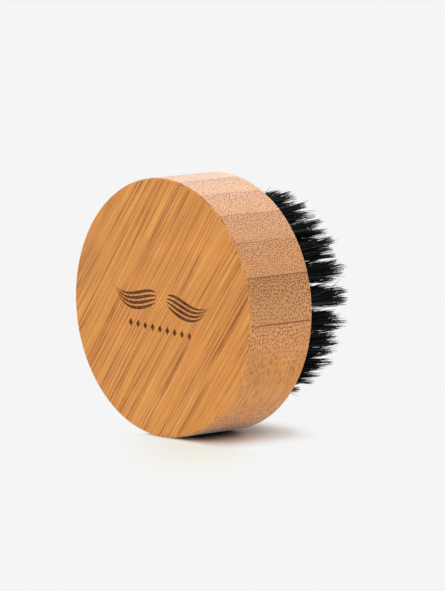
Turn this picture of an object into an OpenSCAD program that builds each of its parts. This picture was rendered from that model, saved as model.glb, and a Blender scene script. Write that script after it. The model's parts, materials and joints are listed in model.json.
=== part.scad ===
// Palm-size beard brush: a laminated bamboo disc with bristle tufts set in its back.
// The brush stands on its rim. Its axis is Y: the palm face looks along -Y and lies
// in the plane y = 0, the bristles point along +Y, and +Z is up.

/* [Bamboo disc] */
// Diameter of the disc, mm
disc_d = 55; // [50:0.5:60]
// Thickness of the disc, from the palm face to the bristle face, mm
disc_t = 17.8; // [16:0.2:22]
// Width of the small bevel that breaks the edge around each face, mm
edge_bevel = 0.3; // [0.2:0.1:1]

/* [Bamboo strips] */
// Number of strips glued side by side across the disc
strip_count = 9; // [7:2:11]
// Direction of the grain, measured up from +X, degrees
grain_angle = 54; // [0:1:90]

/* [Tuft holes] */
// Number of rings of tufts around the centre tuft
ring_count = 4; // [3:1:4]
// Distance from one ring to the next, mm
ring_pitch = 4.7; // [4.6:0.1:5.4]
// Turn of the whole pattern of holes about the disc's axis, degrees
pattern_turn = 5; // [0:1:15]
// Diameter of a tuft hole, mm
hole_d = 3.2; // [2.8:0.1:3.4]
// Depth of a tuft hole, mm
hole_depth = 11; // [8:0.5:13]

/* [Bristle tufts] */
// Length of bristle that stands out of the disc, mm
bristle_len = 16; // [10:0.5:20]
// Diameter of a tuft at its tips, mm
tip_d = 4.7; // [4:0.1:5]
// Outward lean of the outermost ring of tufts, degrees
outer_lean = 2; // [0:0.5:6]

/* [Wire anchors] */
// Width of the flat wire anchor across its hole, mm
anchor_w = 2.8; // [2.2:0.1:2.8]
// Height of the anchor along the hole, mm
anchor_h = 1.8; // [1.2:0.1:2.4]
// Thickness of the anchor, mm
anchor_t = 0.35; // [0.25:0.05:0.5]

/* [Burnt ornament] */
// Half the width of the engraved moustache, mm
moustache_reach = 16; // [12:0.5:18]
// Greatest height of each half of the moustache, mm
moustache_body = 4.6; // [3.6:0.1:5.4]
// Number of engraved strokes in each half of the moustache
stroke_count = 4; // [3:1:5]
// Number of engraved diamonds in the row under the moustache
diamond_count = 9; // [5:2:11]
// Depth of the engraving, mm
engrave_depth = 0.3; // [0.2:0.05:0.5]
// Turn of the ornament about the disc's axis, degrees
ornament_turn = -4; // [-10:1:10]

/* [Hidden] */
disc_r = disc_d / 2;
$fn = 96;
far = 2 * disc_d;               // longer than anything it cuts
// The two outermost strips are cut narrow by the rim
strip_w = disc_d / (strip_count - 1.09);
strip_shift = -0.185 * strip_w; // middle strip's centre line, off the disc's axis
middle_strip = (strip_count + 1) / 2;
tuft_play = 0.05;               // radial play of a tuft in its hole
tuft_sink = 0.3;                // how far the splayed part starts below the mouth
splay_base_d = hole_d - 0.2;
anchor_lift = 0.6;              // anchor's height above the hole's bottom
anchor_play = 0.02;
moustache_gap = 0.6;            // from the centre line to each half
moustache_height = 1.5;         // centre of the moustache above the disc's axis
stroke_fill = 0.62;             // share of the moustache's height that is cut away
stroke_steps = 20;
diamond_size = [1.2, 1.7];
diamond_pitch = 2.3;
diamond_drop = 6;               // row of diamonds below the moustache's centre
single_rings_from = 3;          // from this ring out, each tuft is a node of its own

function two_digits(n) = str(n < 10 ? "0" : "", n);
function tufts_in(ring) = ring == 0 ? 1 : 6 * ring;
function tuft_turn(ring, i) = pattern_turn + 360 / tufts_in(ring) * (i - 1);
function strip_name(i) = str("bamboo_strip_", i);
function ring_name(kind, ring) =
    ring == 0 ? str(kind, "_centre") : str(kind, "s_ring_", ring);
function tuft_name(ring, i) = str("tuft_ring_", ring, "_", two_digits(i));

STRIPS = [for (i = [1:strip_count]) strip_name(i)];
INNER_TUFTS = [for (ring = [0:single_rings_from - 1]) ring_name("tuft", ring)];
OUTER_TUFTS = [
    for (ring = [single_rings_from:ring_count], i = [1:tufts_in(ring)]) tuft_name(ring, i)
];
ANCHORS = [for (ring = [0:ring_count]) ring_name("anchor", ring)];

// Turns a shape drawn along +Z to lie along +Y
module along_y() {
    rotate([-90, 0, 0]) children();
}

// Puts its children at the mouth of tuft i of a ring, leaning outward by lean degrees
module at_tuft(ring, i, lean = 0) {
    rotate([0, -tuft_turn(ring, i), 0])
        translate([ring * ring_pitch, disc_t, 0])
            rotate([0, 0, -lean])
                along_y() children();
}

// The whole disc before it is parted into strips, with both edges broken
module disc_blank() {
    along_y() {
        cylinder(h = edge_bevel, r1 = disc_r - edge_bevel, r2 = disc_r);
        translate([0, 0, edge_bevel])
            cylinder(h = disc_t - 2 * edge_bevel, r = disc_r);
        translate([0, 0, disc_t - edge_bevel])
            cylinder(h = edge_bevel, r1 = disc_r, r2 = disc_r - edge_bevel);
    }
}

// The slab of the disc that strip i is cut from, counted across the grain
module strip_slab(i) {
    across = strip_shift + (i - middle_strip) * strip_w;
    rotate([0, -grain_angle, 0])
        translate([-far / 2, -1, -across - strip_w / 2])
            cube([far, disc_t + 2, strip_w]);
}

module tuft_holes() {
    for (ring = [0:ring_count], i = [1:tufts_in(ring)])
        at_tuft(ring, i)
            translate([0, 0, -hole_depth]) cylinder(h = hole_depth + 1, d = hole_d);
}

// Middle line of half a moustache: in from the lip, down, and up to a curled tip
function moustache_line(t) =
    let (u = 1 - t, reach = moustache_reach)
    u * u * u * [moustache_gap + 0.2, 0.5]
    + 3 * u * u * t * [reach * 0.35, 0.4]
    + 3 * u * t * t * [reach * 0.72, -4.6]
    + t * t * t * [reach, 2.6];
// Half its height there: round at the lip, thickest a third of the way, pointed at the tip
function moustache_half_height(t) = moustache_body / 2 * pow(sin(180 * pow(t, 0.62)), 0.85);

// Where stroke j runs between the lower edge (-1) and the upper edge (1)
function stroke_side(j) = (2 * j + 1) / stroke_count - 1;
// The outer strokes start later and end sooner than the inner ones
function stroke_place(j, u) =
    let (start = 0.04 + 0.04 * abs(stroke_side(j)), end = 0.96 - 0.15 * abs(stroke_side(j)))
    start + (end - start) * u;
// A point on one edge of stroke j, a share u of the way along it
function stroke_edge(j, u, edge) =
    let (t = stroke_place(j, u), half = moustache_half_height(t))
    let (taper = pow(sin(180 * pow(u, 0.8)), 0.6))
    moustache_line(t) + [0, half * (stroke_side(j) + edge * stroke_fill / stroke_count * taper)];

module moustache_stroke(j) {
    upper = [for (k = [0:stroke_steps]) stroke_edge(j, k / stroke_steps, 1)];
    lower = [for (k = [stroke_steps - 1:-1:1]) stroke_edge(j, k / stroke_steps, -1)];
    polygon(concat(upper, lower));
}

module moustache_half() {
    for (j = [0:stroke_count - 1]) moustache_stroke(j);
}

module diamond() {
    half = diamond_size / 2;
    polygon([[half.x, 0], [0, half.y], [-half.x, 0], [0, -half.y]]);
}

// Flat outline of the ornament as it is seen when facing the palm face
module ornament() {
    moustache_half();
    mirror([1, 0]) moustache_half();
    for (k = [0:diamond_count - 1])
        translate([(k - (diamond_count - 1) / 2) * diamond_pitch, -diamond_drop]) diamond();
}

module engraving() {
    rotate([0, -ornament_turn, 0])
        translate([0, engrave_depth, moustache_height])
            rotate([90, 0, 0]) linear_extrude(engrave_depth + 1) ornament();
}

module bamboo_strip(i) {
    color(i % 2 == 0 ? "burlywood" : "tan") difference() {
        intersection() {
            disc_blank();
            strip_slab(i);
        }
        tuft_holes();
        engraving();
    }
}

// A flat wire anchor, set across the grain so that it doesn't split the bamboo
module anchor_plate(play = 0) {
    translate([0, 0, anchor_lift + anchor_h / 2 - hole_depth])
        cube([anchor_w, anchor_t, anchor_h] + 2 * play * [1, 1, 1], center = true);
}

// Turns an anchor on its hole's axis from its ring's angle to the common direction
module set_across_grain(ring, i) {
    rotate([0, 0, tuft_turn(ring, i) - grain_angle - 90]) children();
}

module tuft(ring, i) {
    lean = outer_lean * ring / ring_count;
    color("#1b1d1e") {
        difference() {
            at_tuft(ring, i) translate([0, 0, -hole_depth])
                cylinder(h = hole_depth, r = hole_d / 2 - tuft_play);
            at_tuft(ring, i) set_across_grain(ring, i) anchor_plate(anchor_play);
        }
        at_tuft(ring, i, lean) translate([0, 0, -tuft_sink])
            cylinder(h = bristle_len + tuft_sink, d1 = splay_base_d, d2 = tip_d);
    }
}

module tuft_ring(ring) {
    for (i = [1:tufts_in(ring)]) tuft(ring, i);
}

module anchor_ring(ring) {
    color("silver") for (i = [1:tufts_in(ring)])
        at_tuft(ring, i) set_across_grain(ring, i) anchor_plate();
}

for (i = [1:strip_count])
    bamboo_strip(i);
for (ring = [0:single_rings_from - 1])
    tuft_ring(ring);
for (ring = [single_rings_from:ring_count], i = [1:tufts_in(ring)])
    tuft(ring, i);
for (ring = [0:ring_count])
    anchor_ring(ring);
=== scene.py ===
import json
import math
import random

import bmesh
import bpy
from mathutils import Matrix, Vector


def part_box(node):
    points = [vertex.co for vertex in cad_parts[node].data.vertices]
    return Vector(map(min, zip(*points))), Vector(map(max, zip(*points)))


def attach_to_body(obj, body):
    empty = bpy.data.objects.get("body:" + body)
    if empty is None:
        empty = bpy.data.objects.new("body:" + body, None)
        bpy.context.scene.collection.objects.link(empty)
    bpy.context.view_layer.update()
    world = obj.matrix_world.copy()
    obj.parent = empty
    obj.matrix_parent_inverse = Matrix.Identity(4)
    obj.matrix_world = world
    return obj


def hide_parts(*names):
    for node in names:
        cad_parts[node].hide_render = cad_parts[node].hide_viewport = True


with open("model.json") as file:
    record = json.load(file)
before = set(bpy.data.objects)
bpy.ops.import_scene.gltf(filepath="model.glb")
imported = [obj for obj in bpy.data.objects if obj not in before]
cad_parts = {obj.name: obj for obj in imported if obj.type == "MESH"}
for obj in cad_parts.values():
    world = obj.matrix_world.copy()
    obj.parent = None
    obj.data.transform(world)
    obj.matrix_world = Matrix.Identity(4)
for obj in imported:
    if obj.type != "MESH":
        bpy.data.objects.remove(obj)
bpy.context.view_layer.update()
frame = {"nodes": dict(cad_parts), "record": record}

# ---------------------------------------------------------------- sizes, in metres
MM = 0.001
MOUNTS = {mount["name"]: mount for mount in frame["record"]["mounts"]}
STRIP_NAMES = sorted(n for n in frame["nodes"] if n.startswith("bamboo_strip_"))
MIDDLE_STRIP = STRIP_NAMES[len(STRIP_NAMES) // 2]

GRAIN_TURN = math.radians(54)          # grain direction, up from +X
ALONG = Vector((math.cos(GRAIN_TURN), 0, math.sin(GRAIN_TURN)))
ACROSS = Vector((math.sin(GRAIN_TURN), 0, -math.cos(GRAIN_TURN)))
AXIS = Vector((0, 1, 0))               # from the palm face to the bristle tips

DISC_R = MOUNTS["rim"]["dims"]["r_mm"] * MM
DISC_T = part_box(MIDDLE_STRIP)[1].y
EDGE_BEVEL = 0.3 * MM                  # width of the broken edge round each face
EDGE_SOFT = 0.1 * MM                   # its corners are worn round
FLOOR_Z = -DISC_R

RINGS = 4
PATTERN_TURN = math.radians(5)         # of all the holes about the disc's axis
HOLE_R = 1.6 * MM
HOLE_DEPTH = DISC_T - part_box("tuft_centre")[0].y
BRISTLE_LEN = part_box("tuft_centre")[1].y - DISC_T
OUTER_LEAN = math.radians(2)


def width(node):
    low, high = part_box(node)
    return high.x - low.x


RING_SPREAD = (width(f"anchors_ring_{RINGS}") - width("anchor_centre")) / 2
RING_PITCH = RING_SPREAD / RINGS / math.cos(PATTERN_TURN)


def span(node, direction):
    """Lowest and highest reach of a CAD node along a direction."""
    reach = [vertex.co.dot(direction) for vertex in frame["nodes"][node].data.vertices]
    return min(reach), max(reach)


GLUE_LOW, GLUE_HIGH = span(MIDDLE_STRIP, ACROSS)
STRIP_W = GLUE_HIGH - GLUE_LOW


# ---------------------------------------------------------------- mesh helpers
def new_object(name, mesh):
    thing = bpy.data.objects.new(name, mesh)
    bpy.context.scene.collection.objects.link(thing)
    return thing


def object_from_bmesh(name, shape):
    bmesh.ops.recalc_face_normals(shape, faces=shape.faces)
    mesh = bpy.data.meshes.new(name)
    shape.to_mesh(mesh)
    shape.free()
    return new_object(name, mesh)


def lathe(shape, profile, steps, centre=Vector()):
    """Adds a closed turned solid to shape: profile is (radius, height along +Y) points.
    A point of radius 0 at either end becomes a pole."""
    rings = []
    for radius, height in profile:
        if radius == 0:
            rings.append([shape.verts.new(centre + Vector((0, height, 0)))])
            continue
        rings.append([
            shape.verts.new(centre + Vector((radius * math.cos(turn), height, radius * math.sin(turn))))
            for turn in (2 * math.pi * k / steps for k in range(steps))
        ])
    for low, high in zip(rings, rings[1:]):
        for k in range(steps):
            m = (k + 1) % steps
            corners = [low[k % len(low)], low[m % len(low)], high[m % len(high)], high[k % len(high)]]
            shape.faces.new(list(dict.fromkeys(corners)))


def prism(shape, outline, low_outline, top_y, low_y):
    """Adds a closed prism between two matching outlines of (x, z) points."""
    top = [shape.verts.new((x, top_y, z)) for x, z in outline]
    low = [shape.verts.new((x, low_y, z)) for x, z in low_outline]
    shape.faces.new(top)
    shape.faces.new(low[::-1])
    for k in range(len(top)):
        m = (k + 1) % len(top)
        shape.faces.new((top[m], top[k], low[k], low[m]))


def cut_away(piece, cutters):
    """Takes the cutters out of the piece for good."""
    for cutter in cutters:
        cut = piece.modifiers.new("cut", "BOOLEAN")
        cut.operation = "DIFFERENCE"
        cut.solver = "EXACT"
        cut.object = cutter
    bpy.context.view_layer.update()
    graph = bpy.context.evaluated_depsgraph_get()
    mesh = bpy.data.meshes.new_from_object(piece.evaluated_get(graph))
    piece.modifiers.clear()
    piece.data = mesh


def smooth(piece, sharp_from=math.radians(28)):
    for face in piece.data.polygons:
        face.use_smooth = True
    piece.data.set_sharp_from_angle(angle=sharp_from)
    weighted = piece.modifiers.new("weighted", "WEIGHTED_NORMAL")
    weighted.keep_sharp = True


def attach(piece, slot, *nodes):
    """Every piece rides on the one body and stands for its CAD nodes."""
    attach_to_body(piece, "root")
    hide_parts(*nodes)


# ---------------------------------------------------------------- material helpers
class Nodes:
    """Short calls for building the node tree of a material or a world."""

    def __init__(self, owner, shader="Principled BSDF"):
        owner.use_nodes = True
        self.tree = owner.node_tree
        self.shader = self.tree.nodes[shader]

    def add(self, kind, **settings):
        node = self.tree.nodes.new(kind)
        for key, value in settings.items():
            setattr(node, key, value)
        return node

    def join(self, value, socket):
        if isinstance(value, bpy.types.NodeSocket):
            self.tree.links.new(value, socket)
        else:
            socket.default_value = value

    def math(self, operation, *values, clamp=False):
        node = self.add("ShaderNodeMath", operation=operation, use_clamp=clamp)
        for value, socket in zip(values, node.inputs):
            self.join(value, socket)
        return node.outputs[0]

    def vector(self, operation, *values):
        node = self.add("ShaderNodeVectorMath", operation=operation)
        for value, socket in zip(values, node.inputs):
            self.join(value, socket)
        return node.outputs["Value" if operation in ("DOT_PRODUCT", "LENGTH") else "Vector"]

    def combine(self, *values):
        node = self.add("ShaderNodeCombineXYZ")
        for value, socket in zip(values, node.inputs):
            self.join(value, socket)
        return node.outputs[0]

    def ramp(self, value, low, high, to_low=0.0, to_high=1.0):
        """Smooth step of value from low..high to to_low..to_high."""
        node = self.add("ShaderNodeMapRange", interpolation_type="SMOOTHSTEP")
        for entry, socket in zip((value, low, high, to_low, to_high), node.inputs):
            self.join(entry, socket)
        return node.outputs[0]

    def dice(self, value):
        """Three random numbers that stay the same wherever value does."""
        node = self.add("ShaderNodeTexWhiteNoise", noise_dimensions="1D")
        self.join(value, node.inputs["W"])
        parts = self.add("ShaderNodeSeparateColor")
        self.join(node.outputs["Color"], parts.inputs[0])
        return parts.outputs

    def noise(self, place, detail=2.0, roughness=0.5):
        node = self.add("ShaderNodeTexNoise")
        self.join(place, node.inputs["Vector"])
        node.inputs["Scale"].default_value = 1
        node.inputs["Detail"].default_value = detail
        node.inputs["Roughness"].default_value = roughness
        return node.outputs["Fac"]

    def mix(self, share, first, second, blend="MIX"):
        node = self.add("ShaderNodeMix", data_type="RGBA", blend_type=blend)
        for value, name in ((share, "Factor_Float"), (first, "A_Color"), (second, "B_Color")):
            socket = next(s for s in node.inputs if s.identifier == name)
            self.join(value, socket)
        return next(s for s in node.outputs if s.identifier == "Result_Color")

    def bump(self, height, strength, distance):
        node = self.add("ShaderNodeBump")
        node.inputs["Strength"].default_value = strength
        node.inputs["Distance"].default_value = distance
        self.join(height, node.inputs["Height"])
        self.join(node.outputs["Normal"], self.shader.inputs["Normal"])


STRIP_SEED, GLUE_SEED = 32117.0, 5191.0


def bamboo_material():
    """Solid caramelised bamboo. Fibre bundles run along the grain, so a surface cut along them
    shows streaks and one cut across them shows dots. Each strip is densest on one side."""
    material = bpy.data.materials.new("bamboo")
    n = Nodes(material)
    place = n.add("ShaderNodeTexCoord").outputs["Object"]
    normal = n.add("ShaderNodeNewGeometry").outputs["True Normal"]
    parts = n.add("ShaderNodeSeparateXYZ")
    n.join(place, parts.inputs[0])
    along = n.math("MULTIPLY", n.vector("DOT_PRODUCT", place, ALONG), 1 / MM)
    across = n.math("MULTIPLY", n.vector("DOT_PRODUCT", place, ACROSS), 1 / MM)
    depth = n.math("MULTIPLY", parts.outputs["Y"], 1 / MM)
    flat = n.combine(parts.outputs["X"], 0.0, parts.outputs["Z"])
    radial = n.math("MULTIPLY", n.vector("LENGTH", flat), 1 / MM)

    # which strip this is, how far across it from its dense side, and the nearest glue plane
    counted = n.math("DIVIDE", n.math("SUBTRACT", across, GLUE_LOW / MM), STRIP_W / MM)
    strip = n.math("FLOOR", counted)
    share = n.math("SUBTRACT", counted, strip)
    luck = n.dice(n.math("ADD", strip, STRIP_SEED))
    glue_luck = n.dice(n.math("ADD", n.math("ROUND", counted), GLUE_SEED))

    # each strip has fibres of its own, a hair off the direction of its neighbours
    shift = n.math("MULTIPLY", luck[0], 310.0)
    slant = n.math("MULTIPLY", n.math("MULTIPLY_ADD", luck[1], 0.04, -0.02), along)
    drift = n.vector("MULTIPLY", n.combine(across, depth, along), (0.2, 0.12, 0.035))
    wander = n.math("MULTIPLY", n.noise(drift, detail=1.0), 1.2)
    s = n.math("ADD", n.math("ADD", across, shift), n.math("ADD", wander, slant))

    def fibres(size, length):
        """A place in a field of fibres, for noise that is size mm wide and length mm long."""
        return n.combine(
            n.math("DIVIDE", s, size), n.math("DIVIDE", depth, size), n.math("DIVIDE", along, length))

    fine = n.noise(fibres(0.15, 13.0), detail=3.0, roughness=0.6)
    bands = n.noise(fibres(1.0, 60.0), detail=3.0, roughness=0.6)
    veins = n.noise(fibres(0.27, 34.0), detail=1.0)
    bunches = n.noise(fibres(1.6, 60.0), detail=2.0)
    pale = n.noise(fibres(0.36, 30.0), detail=1.0)
    cloud = n.noise(n.vector("MULTIPLY", place, (120.0, 120.0, 120.0)), detail=2.0)
    patchy = n.noise(n.vector("MULTIPLY", place, (260.0, 260.0, 260.0)), detail=2.0)
    dense = n.ramp(share, 0.0, 0.85, 1.0, 0.12)
    dense = n.math("MULTIPLY", dense, n.math("MULTIPLY_ADD", luck[2], 0.65, 0.40))

    # fibre bundles, just under half a millimetre apart. They vary in size and in how dark they are
    bundle_gap = n.math("MULTIPLY_ADD", luck[2], 0.05, 0.445)
    cells = n.add("ShaderNodeTexVoronoi", voronoi_dimensions="2D", feature="F1")
    cut_across = n.combine(n.math("DIVIDE", s, bundle_gap), n.math("DIVIDE", depth, bundle_gap), 0.0)
    n.join(cut_across, cells.inputs["Vector"])
    cells.inputs["Scale"].default_value = 1
    cells.inputs["Randomness"].default_value = 0.7
    cell = n.add("ShaderNodeSeparateColor")
    n.join(cells.outputs["Color"], cell.inputs[0])
    dot_r = n.math("MULTIPLY_ADD", dense, 0.05, n.math("MULTIPLY_ADD", cell.outputs[0], 0.09, 0.26))
    dot = n.ramp(cells.outputs["Distance"], dot_r, n.math("SUBTRACT", dot_r, 0.11))
    darkness = n.math("MULTIPLY_ADD", dense, 0.5, cell.outputs[1])
    dot = n.math("MULTIPLY", dot, n.ramp(darkness, 0.15, 0.95, 0.60, 0.98))

    # where the surface is the bevel, and where it is cut across the grain
    off_rim = n.math("SUBTRACT", DISC_R / MM, radial)
    off_face = n.math("MINIMUM", depth, n.math("SUBTRACT", DISC_T / MM, depth))
    edge = n.math("MULTIPLY", n.ramp(off_rim, 0.36, 0.26), n.ramp(off_face, 0.36, 0.26))
    end_grain = n.ramp(n.math("ABSOLUTE", n.vector("DOT_PRODUCT", normal, ALONG)), 0.10, 0.55)
    end_grain = n.math("MULTIPLY", end_grain, n.math("MULTIPLY_ADD", edge, -0.6, 1.0))

    # the long grain: tone bands, dark and pale fibres, bundles, and bunches of sharp veins
    bands = n.math("MULTIPLY_ADD", dense, -0.10, bands)
    wood = n.mix(n.ramp(bands, 0.10, 0.76), (0.67, 0.246, 0.037, 1), (0.84, 0.352, 0.065, 1))
    wood = n.mix(n.ramp(fine, 0.38, 0.70, 0.0, 0.50), wood, (0.50, 0.160, 0.018, 1))
    wood = n.mix(n.ramp(pale, 0.57, 0.67, 0.0, 0.58), wood, (0.94, 0.455, 0.120, 1))
    bundle = n.math("MULTIPLY", dot, n.ramp(veins, 0.35, 0.65, 0.10, 0.60))
    wood = n.mix(bundle, wood, (0.36, 0.095, 0.008, 1))
    vein = n.ramp(n.math("MULTIPLY_ADD", dense, 0.04, veins), 0.535, 0.62, 0.0, 0.95)
    bunched = n.ramp(n.math("MULTIPLY_ADD", dense, 0.12, bunches), 0.46, 0.60, 0.28, 1.0)
    vein = n.math("MULTIPLY", n.math("MULTIPLY", vein, bunched), n.ramp(cloud, 0.30, 0.55, 0.5, 1.0))
    long_grain = n.mix(vein, wood, (0.30, 0.072, 0.005, 1))

    # the end grain: a paler and pinker ground with dark dots
    ground = n.mix(n.math("MULTIPLY", dense, 0.8), (0.79, 0.378, 0.141, 1), (0.66, 0.284, 0.101, 1))
    ground = n.mix(n.ramp(fine, 0.35, 0.75, 0.0, 0.25), ground, (0.42, 0.16, 0.045, 1))
    dotted = n.mix(dot, ground, (0.140, 0.042, 0.013, 1))
    wood = n.mix(end_grain, long_grain, dotted)
    wood = n.mix(n.ramp(cloud, 0.35, 0.75, 0.0, 0.20), wood, (0.50, 0.20, 0.040, 1))
    tone = n.math("MULTIPLY_ADD", luck[0], n.ramp(end_grain, 0.0, 1.0, 0.04, 0.24),
                  n.ramp(end_grain, 0.0, 1.0, 0.93, 0.87))
    wood = n.vector("MULTIPLY", wood, n.combine(tone, tone, tone))

    # a hairline of glue between strips, faint on the faces and broken up along its length
    to_glue = n.math("MINIMUM", share, n.math("SUBTRACT", 1.0, share))
    to_glue = n.math("MULTIPLY", to_glue, STRIP_W / MM)
    glue = n.math("MULTIPLY", n.ramp(to_glue, 0.13, 0.03), n.ramp(cloud, 0.3, 0.6, 0.5, 1.0))
    glue = n.math("MULTIPLY", glue, n.ramp(glue_luck[0], 0.2, 0.9, 0.60, 1.0))
    glue = n.math("MULTIPLY", glue, n.ramp(end_grain, 0.0, 1.0, 0.40, 0.92))
    wood = n.mix(glue, wood, (0.17, 0.050, 0.014, 1))

    # the bevel is painted paler here and there, a painted highlight along the edges
    edge = n.math("MULTIPLY", edge, n.ramp(patchy, 0.40, 0.64, 0.0, 0.42))
    wood = n.mix(edge, wood, (0.86, 0.44, 0.13, 1))

    # the ornament is scorched, and least so where the wood is hard
    inside = n.math("MULTIPLY", n.ramp(depth, 0.02, 0.12), n.ramp(depth, 0.8, 0.6))
    scorched = n.math("MULTIPLY", inside, n.ramp(off_rim, 1.5, 2.5))
    char = n.mix(n.ramp(veins, 0.36, 0.64), (0.075, 0.020, 0.005, 1), (0.270, 0.085, 0.016, 1))
    n.join(n.mix(scorched, wood, char), n.shader.inputs["Base Color"])

    rough = n.ramp(fine, 0.2, 0.8, 0.34, 0.48)
    rough = n.math("MULTIPLY_ADD", dot, n.ramp(end_grain, 0.0, 1.0, 0.10, 0.35), rough)
    n.join(n.math("MULTIPLY_ADD", scorched, 0.25, rough, clamp=True), n.shader.inputs["Roughness"])
    n.shader.inputs["Specular IOR Level"].default_value = 0.33
    n.shader.inputs["Sheen Weight"].default_value = 0.36
    n.shader.inputs["Sheen Roughness"].default_value = 0.35
    height = n.math("SUBTRACT", n.math("MULTIPLY", fine, 0.5), n.math("MULTIPLY", dot, 0.6))
    n.bump(height, 0.40, 0.07 * MM)
    return material


def bristle_material():
    """Black boar bristle: near-black with a cool or olive cast. A few bristles are painted paler, a
    painted highlight, and the tips are painted paler, a painted stand-in for light shining through
    them.
    """
    material = bpy.data.materials.new("bristle")
    n = Nodes(material)
    reach = n.add("ShaderNodeAttribute", attribute_name="reach").outputs["Fac"]
    luck = n.add("ShaderNodeAttribute", attribute_name="luck").outputs["Fac"]
    place = n.add("ShaderNodeTexCoord").outputs["Object"]
    grit = n.noise(n.vector("MULTIPLY", place, (900.0, 900.0, 900.0)), detail=2.0)
    body = n.mix(luck, (0.0010, 0.0018, 0.0030, 1), (0.0050, 0.0060, 0.0058, 1))
    # a few bristles painted paler, a painted highlight standing in for glints along shiny bristles
    body = n.mix(n.ramp(luck, 0.78, 0.97), body, (0.048, 0.053, 0.053, 1))
    # the tips painted paler, a painted stand-in for light shining through the thin tips
    tip = n.mix(luck, (0.008, 0.010, 0.009, 1), (0.064, 0.065, 0.047, 1))
    n.join(n.mix(n.ramp(reach, 0.70, 1.0, 0.0, 0.8), body, tip), n.shader.inputs["Base Color"])
    n.join(n.ramp(grit, 0.3, 0.7, 0.28, 0.44), n.shader.inputs["Roughness"])
    n.shader.inputs["Specular IOR Level"].default_value = 0.05
    n.bump(grit, 0.25, 0.02 * MM)
    return material


def wire_material():
    """Flat drawn anchor wire with lengthwise draw marks."""
    material = bpy.data.materials.new("anchor_wire")
    n = Nodes(material)
    place = n.add("ShaderNodeTexCoord").outputs["Object"]
    drawn = n.noise(n.vector("MULTIPLY", place, (600.0, 9000.0, 600.0)), detail=3.0)
    n.join(n.mix(drawn, (0.42, 0.42, 0.43, 1), (0.66, 0.66, 0.67, 1)), n.shader.inputs["Base Color"])
    n.join(n.ramp(drawn, 0.3, 0.7, 0.28, 0.5), n.shader.inputs["Roughness"])
    n.shader.inputs["Metallic"].default_value = 1.0
    n.bump(drawn, 0.2, 0.01 * MM)
    return material


# ---------------------------------------------------------------- bamboo disc
def disc_profile():
    """Half outline of the disc: flat faces, and a narrow bevel with worn corners round each."""
    corners = [Vector((0, 0)), Vector((DISC_R - EDGE_BEVEL, 0)), Vector((DISC_R, EDGE_BEVEL)),
               Vector((DISC_R, DISC_T / 2))]
    front = []
    for before, corner, after in zip(corners, corners[1:], corners[2:]):
        start = corner + (before - corner).normalized() * EDGE_SOFT
        end = corner + (after - corner).normalized() * EDGE_SOFT
        for t in (0, 0.25, 0.5, 0.75, 1):
            front.append(start.lerp(corner, t).lerp(corner.lerp(end, t), t))
    back = [(p.x, DISC_T - p.y) for p in reversed(front)]
    return [(0, 0), *((p.x, p.y) for p in front), *back, (0, DISC_T)]


REACH, BODY, GAP = 16 * MM, 4.6 * MM, 0.6 * MM
STROKES, STROKE_FILL, STROKE_STEPS = 4, 0.62, 40


def moustache_line(t):
    """Middle line of the right half of the moustache."""
    u = 1 - t
    handles = [(GAP + 0.2 * MM, 0.5 * MM), (REACH * 0.35, 0.4 * MM),
               (REACH * 0.72, -4.6 * MM), (REACH, 2.6 * MM)]
    weights = (u * u * u, 3 * u * u * t, 3 * u * t * t, t * t * t)
    return Vector([sum(w * h[i] for w, h in zip(weights, handles)) for i in (0, 1)])


def moustache_stroke(j, grow):
    """Outline of one tapered stroke of the right half, grown up and down by grow."""
    side = (2 * j + 1) / STROKES - 1
    start, end = 0.04 + 0.04 * abs(side), 0.96 - 0.15 * abs(side)

    def edge(u, way):
        t = start + (end - start) * u
        half = BODY / 2 * max(math.sin(math.pi * t ** 0.62), 0) ** 0.85
        taper = max(math.sin(math.pi * u ** 0.8), 0) ** 0.6
        rise = half * (side + way * STROKE_FILL / STROKES * taper) + way * grow
        return moustache_line(t) + Vector((0, rise))

    steps = [k / STROKE_STEPS for k in range(STROKE_STEPS + 1)]
    return [edge(u, 1) for u in steps] + [edge(u, -1) for u in reversed(steps)]


def engraving_cutter():
    """The moustache and the row of diamonds under it, with walls that flare a little."""
    depth, above, flare, least = 0.3 * MM, 0.3 * MM, 0.05 * MM, 0.01 * MM
    centre_z, turn = 1.5 * MM, math.radians(-4)
    diamonds, diamond_w, diamond_h, pitch, drop = 9, 1.2 * MM, 1.7 * MM, 2.3 * MM, 6 * MM
    shape = bmesh.new()
    for side in (1, -1):
        for j in range(STROKES):
            wide = [(side * p.x, p.y) for p in moustache_stroke(j, flare + least)]
            narrow = [(side * p.x, p.y) for p in moustache_stroke(j, least)]
            prism(shape, wide[::side], narrow[::side], -above, depth)
    for k in range(diamonds):
        x = (k - (diamonds - 1) / 2) * pitch
        outlines = [
            [(x + w, -drop), (x, h - drop), (x - w, -drop), (x, -h - drop)]
            for w, h in ((diamond_w / 2 + grow, diamond_h / 2 + grow) for grow in (flare, 0))
        ]
        prism(shape, *outlines, -above, depth)
    bmesh.ops.rotate(shape, verts=shape.verts, matrix=Matrix.Rotation(-turn, 3, "Y"))
    bmesh.ops.translate(shape, verts=shape.verts, vec=(0, 0, centre_z))
    return object_from_bmesh("engraving_cutter", shape)


def tufts_in(ring):
    return 6 * ring if ring else 1


def tuft_turn(ring, i):
    return PATTERN_TURN + 2 * math.pi * i / tufts_in(ring)


def tuft_mouth(ring, i):
    turn = tuft_turn(ring, i)
    radius = ring * RING_PITCH
    return Vector((radius * math.cos(turn), DISC_T, radius * math.sin(turn)))


def hole_cutter():
    """All the tuft holes, each with a drill point and a broken edge at its mouth."""
    point, lip, above = 0.5 * MM, 0.16 * MM, 0.5 * MM
    profile = [
        (0, -HOLE_DEPTH),
        (HOLE_R, point - HOLE_DEPTH),
        (HOLE_R, -lip),
        (HOLE_R + lip, 0),
        (HOLE_R + lip, above),
        (0, above),
    ]
    shape = bmesh.new()
    for ring in range(RINGS + 1):
        for i in range(tufts_in(ring)):
            lathe(shape, profile, 32, tuft_mouth(ring, i))
    return object_from_bmesh("hole_cutter", shape)


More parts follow.
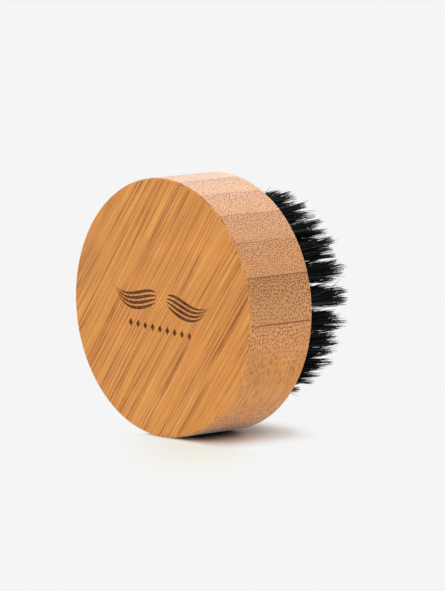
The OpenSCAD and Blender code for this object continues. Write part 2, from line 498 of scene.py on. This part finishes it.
def strip_blank(name, low, high):
    """The slab of the disc between two glue planes, with a hairline groove at each of them."""
    groove = 0.03 * MM
    shape = bmesh.new()
    lathe(shape, disc_profile(), 360)
    for offset, outward in ((low, -ACROSS), (high, ACROSS)):
        if abs(offset) > DISC_R - EDGE_BEVEL:
            continue
        everything = [*shape.verts, *shape.edges, *shape.faces]
        cut = bmesh.ops.bisect_plane(
            shape, geom=everything, plane_co=ACROSS * offset, plane_no=outward, clear_outer=True,
        )
        edges = [e for e in cut["geom_cut"] if isinstance(e, bmesh.types.BMEdge)]
        bmesh.ops.holes_fill(shape, edges=edges, sides=0)
        wall = [e for e in shape.edges
                if all(abs(v.co.dot(ACROSS) - offset) < 1e-7 for v in e.verts)]
        bmesh.ops.bevel(
            shape, geom=wall, offset=groove, offset_type="OFFSET", segments=1, affect="EDGES",
            clamp_overlap=True,
        )
    return object_from_bmesh(name, shape)


def make_strips(material):
    cutters = [hole_cutter(), engraving_cutter()]
    for node in STRIP_NAMES:
        low, high = span(node, ACROSS)
        piece = strip_blank(node.replace("bamboo_strip", "bamboo_lath"), low, high)
        cut_away(piece, cutters)
        smooth(piece)
        piece.data.materials.append(material)
        attach(piece, "bamboo", node)
    for cutter in cutters:
        bpy.data.objects.remove(cutter)


# ---------------------------------------------------------------- bristles
SIDES = 4
FOLDED = 104                           # bristles in a tuft, each folded in two
BRISTLE_R = 0.095 * MM
ROOT_R = HOLE_R - 0.13 * MM            # the bristles' middle lines stay this near the hole's axis
SPLAY = 1.82                           # how much wider a tuft is at its tips
CLUMPS = (4, 8)                        # the tips gather into this many points
TRIM_SLOPE = 0.06                      # the tips are trimmed a little aslant, longest at the top
FIRST_SEED = 5500000
ANCHOR_LIFT, ANCHOR_H, ANCHOR_T = 0.6 * MM, 1.8 * MM, 0.35 * MM
ANCHOR_W = 2.8 * MM


class Hairs:
    """Collects tapered tubes into one mesh, with each point's reach and each tube's luck."""

    def __init__(self):
        self.verts, self.faces, self.reach, self.luck = [], [], [], []

    def tube(self, points, radii, reach, luck):
        start = len(self.verts)
        for k, (point, radius) in enumerate(zip(points, radii)):
            before, after = points[max(k - 1, 0)], points[min(k + 1, len(points) - 1)]
            forward = (after - before).normalized()
            side = forward.cross(ALONG if abs(forward.dot(ALONG)) < 0.9 else AXIS).normalized()
            other = forward.cross(side)
            for j in range(SIDES):
                turn = 2 * math.pi * j / SIDES
                self.verts.append(point + (side * math.cos(turn) + other * math.sin(turn)) * radius)
                self.reach.append(reach[k])
                self.luck.append(luck)
        for k in range(len(points) - 1):
            for j in range(SIDES):
                a = start + k * SIDES + j
                b = start + k * SIDES + (j + 1) % SIDES
                self.faces.append((a, b, b + SIDES, a + SIDES))
        last = start + (len(points) - 1) * SIDES
        self.faces.append(tuple(start + j for j in reversed(range(SIDES))))
        self.faces.append(tuple(last + j for j in range(SIDES)))

    def build(self, name, material):
        mesh = bpy.data.meshes.new(name)
        mesh.from_pydata(self.verts, [], self.faces)
        for attribute, values in (("reach", self.reach), ("luck", self.luck)):
            mesh.attributes.new(attribute, "FLOAT", "POINT").data.foreach_set("value", values)
        for face in mesh.polygons:
            face.use_smooth = True
        mesh.materials.append(material)
        return new_object(name, mesh)


def free_leg(rng, mouth, axis, start, clumps):
    """One free leg of a bristle, from the hole's mouth to its tip: points, radii and reach.
    A tuft stays full for most of its length, flares, and gathers into points at the end."""
    steps = 6
    tip = start * SPLAY
    clump, clump_reach = min(clumps, key=lambda c: (c[0] - tip).length)
    gathered = clump + Vector((rng.gauss(0, 0.22 * MM), rng.gauss(0, 0.22 * MM)))
    pull = rng.uniform(0.15, 0.75)
    length = BRISTLE_LEN * (clump_reach + rng.gauss(0, 0.034))
    if rng.random() < 0.03:
        gathered += Vector((rng.gauss(0, 1.0 * MM), rng.gauss(0, 1.0 * MM)))
        pull = 1
        length *= rng.uniform(0.75, 1.04)
    length = min(length, BRISTLE_LEN * 1.06) + TRIM_SLOPE * mouth.z
    bow = Vector((rng.gauss(0, 0.13 * MM), rng.gauss(0, 0.13 * MM)))
    points, radii, reach = [], [], []
    for k in range(steps + 1):
        t = 1 - (1 - k / steps) ** 1.25
        aside = start.lerp(tip, t ** 1.7).lerp(gathered, pull * t ** 3) + bow * math.sin(math.pi * t)
        points.append(mouth + ACROSS * aside.x + ALONG * aside.y + axis * (length * t))
        radii.append(BRISTLE_R * (1 - 0.10 * t - 0.6 * max(t - 0.7, 0) / 0.3))
        reach.append(t)
    return points, radii, reach


def add_tuft(hairs, ring, i):
    """One tuft: bristles folded in two round the anchor at the bottom of their hole."""
    rng = random.Random(FIRST_SEED + 100 * ring + i)
    mouth = tuft_mouth(ring, i)
    turn = tuft_turn(ring, i)
    radial = Vector((math.cos(turn), 0, math.sin(turn)))
    lean = OUTER_LEAN * ring / RINGS + rng.gauss(0, math.radians(1.3))
    sway = rng.gauss(0, math.radians(1.5))
    axis = (AXIS + radial * math.tan(lean) + radial.cross(AXIS) * math.tan(sway)).normalized()
    clumps = []
    count = rng.randint(*CLUMPS)
    for k in range(count):
        angle = 2 * math.pi * k * 0.618 + rng.gauss(0, 0.3)
        far = SPLAY * ROOT_R * math.sqrt((k + 0.5) / count) * rng.uniform(0.85, 1.10)
        middle = Vector((far * math.cos(angle), far * math.sin(angle)))
        clumps.append((middle, rng.uniform(0.91, 1.04)))
    bottom = Vector((mouth.x, mouth.y - HOLE_DEPTH + ANCHOR_LIFT, mouth.z))
    for _ in range(FOLDED):
        while True:
            p = rng.uniform(-1, 1) * ROOT_R
            q = rng.uniform(0, 1) * ROOT_R
            if math.hypot(p, q) < ROOT_R:
                break
        luck = rng.random()
        first = free_leg(rng, mouth, axis, Vector((p, q)), clumps)
        second = free_leg(rng, mouth, axis, Vector((p, -q)), clumps)
        # inside the hole the legs pass on either side of the anchor and meet under it
        under = bottom + ACROSS * max(min(p, ANCHOR_W / 2 - 0.2 * MM), 0.2 * MM - ANCHOR_W / 2)
        clear = ALONG * max(q, ANCHOR_T / 2 + 0.1 * MM)
        fold = [
            under + clear + AXIS * ANCHOR_H,
            under + clear * 0.9 + AXIS * (0.1 * MM),
            under - AXIS * (0.1 * MM + q / HOLE_R * 0.38 * MM),
            under - clear * 0.9 + AXIS * (0.1 * MM),
            under - clear + AXIS * ANCHOR_H,
        ]
        hairs.tube(
            first[0][::-1] + fold + second[0],
            first[1][::-1] + [BRISTLE_R] * len(fold) + second[1],
            first[2][::-1] + [0.0] * len(fold) + second[2],
            luck,
        )


def make_bristles(material):
    """A piece for each tuft that is a CAD node of its own, and one for each inner ring."""
    for ring in range(RINGS + 1):
        hairs = Hairs()
        for i in range(tufts_in(ring)):
            add_tuft(hairs, ring, i)
            node = f"tuft_ring_{ring}_{i + 1:02d}"
            if node in frame["nodes"]:
                attach(hairs.build(node.replace("tuft", "bristles"), material), "bristle", node)
                hairs = Hairs()
        if hairs.verts:
            node = f"tufts_ring_{ring}" if ring else "tuft_centre"
            attach(hairs.build(f"bristles_inner_{ring}", material), "bristle", node)


# ---------------------------------------------------------------- anchors
def make_anchors(material):
    """Short lengths of flat wire, one in each hole, their edges slightly rounded; the crimped ends are
    not shaped.
    """
    burr = 0.06 * MM
    for ring in range(RINGS + 1):
        shape = bmesh.new()
        for i in range(tufts_in(ring)):
            mouth = tuft_mouth(ring, i)
            middle = Vector((mouth.x, mouth.y - HOLE_DEPTH + ANCHOR_LIFT + ANCHOR_H / 2, mouth.z))
            made = bmesh.ops.create_cube(shape, size=1)["verts"]
            for vertex in made:
                c = vertex.co.copy()
                vertex.co = (middle + ACROSS * c.x * ANCHOR_W + ALONG * c.y * ANCHOR_T
                             + AXIS * c.z * ANCHOR_H)
            edges = list({e for v in made for e in v.link_edges})
            bmesh.ops.bevel(
                shape, geom=edges, offset=burr, offset_type="OFFSET", segments=2, affect="EDGES",
                clamp_overlap=True,
            )
        name = "anchor_wire_centre" if ring == 0 else f"anchor_wires_ring_{ring}"
        piece = object_from_bmesh(name, shape)
        smooth(piece)
        piece.data.materials.append(material)
        attach(piece, "anchor_wire", "anchor_centre" if ring == 0 else f"anchors_ring_{ring}")


# ---------------------------------------------------------------- stage, lights and camera
BACKDROP = 0.913                       # brightness of the floor away from the brush


def make_stage():
    """A wide pale table that glows, with a painted contact shadow: along the brush's line of contact it
    glows least and its colour is painted dark, and the painted shadow fades within a couple of
    centimetres."""
    shape = bmesh.new()
    rings, turns = (0.0, 0.2, 1.0, 4.0, 12.0), 64
    rows = [[shape.verts.new((0, 0, FLOOR_Z))]]
    for radius in rings[1:]:
        rows.append([
            shape.verts.new((radius * math.cos(turn), radius * math.sin(turn), FLOOR_Z))
            for turn in (2 * math.pi * k / turns for k in range(turns))
        ])
    for inner, outer in zip(rows, rows[1:]):
        for k in range(turns):
            m = (k + 1) % turns
            corners = [inner[k % len(inner)], outer[k], outer[m], inner[m % len(inner)]]
            shape.faces.new(list(dict.fromkeys(corners)))
    floor = object_from_bmesh("studio_floor", shape)
    material = bpy.data.materials.new("studio_floor")
    n = Nodes(material)
    place = n.add("ShaderNodeTexCoord").outputs["Object"]
    parts = n.add("ShaderNodeSeparateXYZ")
    n.join(place, parts.inputs[0])
    right = n.math("MULTIPLY", parts.outputs["X"], 1 / MM)
    aside = n.math("MAXIMUM", right, n.math("MULTIPLY", right, -3.5))
    depth = n.math("MULTIPLY", parts.outputs["Y"], 1 / MM)

    # how far a point is from the line of contact, in mm: aside from it, and past either end of it.
    # It shapes the painted shadow. On the left, where the light comes from, the painted shadow stops
    # almost at the brush
    past = n.math("ADD", n.ramp(depth, 0.5, 6.5, 10.0, 0.0),
                  n.math("MULTIPLY", n.math("MAXIMUM", n.math("SUBTRACT", depth, 12.5), 0.0), 1.1))
    near = n.math("MAXIMUM", n.math("SUBTRACT", 1.0, n.math("DIVIDE", aside, 18.0)), -0.35)
    behind = n.math("MAXIMUM", n.math("SUBTRACT", depth, DISC_T / MM), 0.0)
    round_end = n.vector("LENGTH", n.combine(aside, n.math("MULTIPLY", behind, 1.5), 0.0))
    away = n.math("MAXIMUM", n.math("MULTIPLY_ADD", past, near, aside), round_end)
    # the floor's colour, painted dark near the line of contact as a painted shadow
    pale = n.ramp(away, 3.0, 13.0, 0.05, 0.82)

    # beside the brush it glows again within a couple of centimetres. In front of it a faint painted
    # shade, an oval aslant to the right, where the glow is tinted yellow, a painted reflection of light
    # that the palm face throws down
    beside = n.ramp(away, 11.5, 26.0)
    outward = n.math("DIVIDE", n.math("SUBTRACT", right, depth), 95.0)
    sideward = n.math("MULTIPLY_ADD", n.math("ADD", right, depth), 1 / 30, -0.43)
    ahead = n.ramp(n.vector("LENGTH", n.combine(outward, sideward, 0.0)), 0.0, 1.0, 0.80, 1.0)
    front = n.ramp(depth, 1.5, -1.5)
    glow = n.math("ADD", n.math("MULTIPLY", beside, n.math("SUBTRACT", 1.0, front)),
                  n.math("MULTIPLY", ahead, front))
    # the share of the floor that doesn't glow: a painted shadow round the brush
    painted_shade = n.math("SUBTRACT", 1.0, glow)

    # where it doesn't glow it is a pale surface with a fine grain, its colour painted dark near the
    # line of contact as a painted shadow
    grain = n.noise(n.vector("MULTIPLY", place, (400.0, 400.0, 400.0)), detail=2.0)
    pale = n.math("MULTIPLY", painted_shade, n.math("MULTIPLY", pale, n.ramp(grain, 0.0, 1.0, 0.98, 1.02)))
    n.join(n.vector("MULTIPLY", n.combine(pale, pale, pale), (1.0, 0.95, 0.90)),
           n.shader.inputs["Base Color"])
    n.shader.inputs["Roughness"].default_value = 1.0
    n.shader.inputs["Specular IOR Level"].default_value = 0.0
    # the glow is tinted yellow in front of the brush where it is painted dimmer, a painted reflection
    # of light from the palm face
    painted_bounce = n.math("MULTIPLY", painted_shade, front)
    n.join(n.mix(painted_bounce, (1, 1, 1, 1), (1, 0.78, 0.15, 1)), n.shader.inputs["Emission Color"])
    n.join(n.math("MULTIPLY", glow, BACKDROP), n.shader.inputs["Emission Strength"])
    floor.data.materials.append(material)


def make_lights():
    """A soft white studio all round, with a large soft box before the palm face and another high
    behind the brush, which gives the top of its rim a sheen. The walls are as bright as the floor
    where they meet it, so no horizon shows."""
    world = bpy.data.worlds.new("studio")
    bpy.context.scene.world = world
    n = Nodes(world, "Background")
    toward = n.add("ShaderNodeTexCoord").outputs["Generated"]

    def facing(direction, start, full, strength):
        turned = n.vector("DOT_PRODUCT", toward, Vector(direction).normalized())
        return n.ramp(turned, start, full, 0.0, strength)

    front_box = facing((0.0, -0.94, 0.34), 0.5, 0.95, 0.62)
    back_box = facing((-0.25, 0.70, 0.66), 0.73, 0.97, 2.75)
    height = n.add("ShaderNodeSeparateXYZ")
    n.join(toward, height.inputs[0])
    walls = n.ramp(n.math("ABSOLUTE", height.outputs["Z"]), 0.05, 0.32, BACKDROP, 0.765)
    ceiling = n.ramp(height.outputs["Z"], 0.60, 0.95, 0.0, -0.25)
    light = n.math("ADD", n.math("ADD", front_box, back_box), n.math("ADD", walls, ceiling))
    n.join(light, n.shader.inputs["Strength"])
    n.shader.inputs["Color"].default_value = (1, 1, 1, 1)


def make_camera():
    """Off to the palm face's right, a little above the disc's axis, with a long lens."""
    azimuth, elevation = math.radians(47.155), math.radians(7.363)
    distance = 43.26 * DISC_R
    aim = Vector((0.3101, 0.3524, 0.0961)) * DISC_R
    back = Vector((
        math.sin(azimuth) * math.cos(elevation),
        -math.cos(azimuth) * math.cos(elevation),
        math.sin(elevation),
    ))
    data = bpy.data.cameras.new("camera")
    data.sensor_width = 36
    data.lens = 343.9
    data.clip_start = 0.05
    data.clip_end = 30
    camera = new_object("camera", data)
    camera.location = aim + back * distance
    camera.rotation_euler = (-back).to_track_quat("-Z", "Y").to_euler()
    bpy.context.scene.camera = camera


bpy.context.scene.view_settings.view_transform = "Standard"
make_camera()
make_lights()
make_stage()
make_strips(bamboo_material())
make_bristles(bristle_material())
make_anchors(wire_material())
